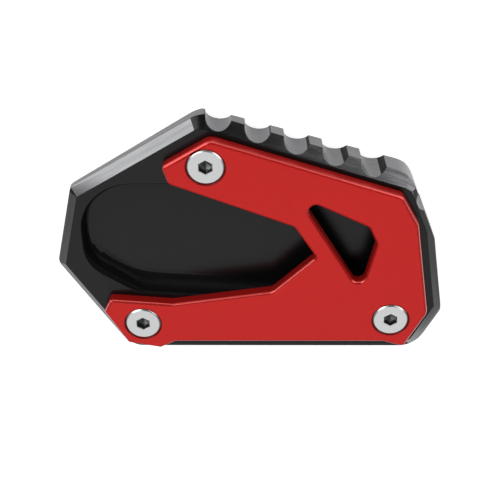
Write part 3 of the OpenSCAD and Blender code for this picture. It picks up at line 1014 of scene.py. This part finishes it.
# %% Paint of the floor
floor_paint, tree, shader = new_finish(
    "studio_white", Base_Color=(0.82, 0.82, 0.82, 1.0), Roughness=0.9)
paths = add_node(tree, "LightPath")
seen = add_node(tree, "Math", {"operation": "MAXIMUM"})
tree.links.new(paths.outputs["Is Camera Ray"], seen.inputs[0])
tree.links.new(paths.outputs["Is Glossy Ray"], seen.inputs[1])
glow = add_node(tree, "Emission", Color=(0.72, 0.72, 0.72, 1.0), Strength=1.0)
no_glow = add_node(tree, "Emission", Strength=0.0)
chosen = add_node(tree, "MixShader")
total = add_node(tree, "AddShader")
tree.links.new(seen.outputs["Value"], chosen.inputs["Fac"])
tree.links.new(no_glow.outputs["Emission"], chosen.inputs[1])
tree.links.new(glow.outputs["Emission"], chosen.inputs[2])
tree.links.new(shader.outputs["BSDF"], total.inputs[0])
tree.links.new(chosen.outputs["Shader"], total.inputs[1])
tree.links.new(total.outputs["Shader"], tree.nodes["Material Output"].inputs["Surface"])
print("finish:", floor_paint.name)

# %% Floor
floor_half = 3.0
floor_drop = 0.05 * MM

floor_work = bmesh.new()
bmesh.ops.create_grid(floor_work, x_segments=1, y_segments=1, size=floor_half)
bmesh.ops.translate(floor_work, verts=floor_work.verts, vec=(0, 0, -floor_drop))
floor_mesh = bpy.data.meshes.new("studio_floor")
floor_work.to_mesh(floor_mesh)
floor_work.free()
floor_mesh.materials.append(floor_paint)
floor = bpy.data.objects.new("studio_floor", floor_mesh)
scene.collection.objects.link(floor)
floor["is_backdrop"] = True
print("the floor is", 2 * floor_half, "m wide")

# %% [markdown]
# ## The studio lights
# Four soft panels light the part. A large one stands on the far side, where the top faces mirror
# it evenly. A stronger one on each side of the camera strikes the sloping chamfers and leaves the
# facet between them black, because only the dark room behind the camera is mirrored there. A low
# one under the camera lights the finger scallops.


# %% Soft panels
def soft_panel(name, azimuth, elevation, distance, width, height, brightness):
    """A rectangular soft light that faces the part; brightness is what a mirror would show."""
    data = bpy.data.lights.new(name, "AREA")
    data.shape = "RECTANGLE"
    data.size = width
    data.size_y = height
    data.energy = brightness * math.pi * width * height
    panel = bpy.data.objects.new(name, data)
    scene.collection.objects.link(panel)
    toward = deck_direction(azimuth, elevation)
    panel.location = toward * distance
    panel.rotation_euler = toward.to_track_quat("Z", "Y").to_euler()
    print(name, "gives", round(data.energy, 2), "W")


soft_panel("far_panel", 270, 60, distance=0.9, width=1.0, height=0.78, brightness=0.91)
soft_panel("left_panel", 138, 38, distance=0.8, width=0.56, height=0.56, brightness=2.8)
soft_panel("right_panel", 33, 26, distance=0.8, width=0.62, height=0.44, brightness=2.5)
soft_panel("low_panel", 86, 19, distance=0.8, width=0.56, height=0.26, brightness=1.5)

# %% [markdown]
# ## The room
# The rest of the room is a plain grey that gets lighter towards the horizon, as in a white tent,
# and darker behind the camera.

# %% World
room = bpy.data.worlds.new("studio_room")
scene.world = room
room.use_nodes = True
tree = room.node_tree
sky = tree.nodes["Background"]
sky.inputs["Color"].default_value = (1.0, 1.0, 1.0, 1.0)
direction = add_node(tree, "TexCoord").outputs["Generated"]
split = add_node(tree, "SeparateXYZ")
height = add_node(tree, "MapRange", From_Min=0.0, From_Max=0.8, To_Min=0.62, To_Max=0.05)
behind = add_node(tree, "VectorMath", {"operation": "DOT_PRODUCT"})
behind.inputs[1].default_value = camera_back
dim = add_node(tree, "MapRange", From_Min=0.70, From_Max=0.92, To_Min=1.0, To_Max=0.12)
level = add_node(tree, "Math", {"operation": "MULTIPLY"})
tree.links.new(direction, split.inputs["Vector"])
tree.links.new(split.outputs["Z"], height.inputs["Value"])
tree.links.new(direction, behind.inputs[0])
tree.links.new(behind.outputs["Value"], dim.inputs["Value"])
tree.links.new(height.outputs["Result"], level.inputs[0])
tree.links.new(dim.outputs["Result"], level.inputs[1])
tree.links.new(level.outputs["Value"], sky.inputs["Strength"])
print("room:", len(tree.nodes), "nodes")

# %% [markdown]
# ## Measuring the result
# The box round everything that belongs to the part is measured once more and compared with the
# box of the imported solids.

# %% Measure and finish
visual_box = [list(corner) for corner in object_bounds()]
for low_high, cad, dressed in zip(("lowest", "highest"), cad_box, visual_box):
    print(low_high, "corner off by", [round((a - b) / MM, 3) for a, b in zip(dressed, cad)], "mm")
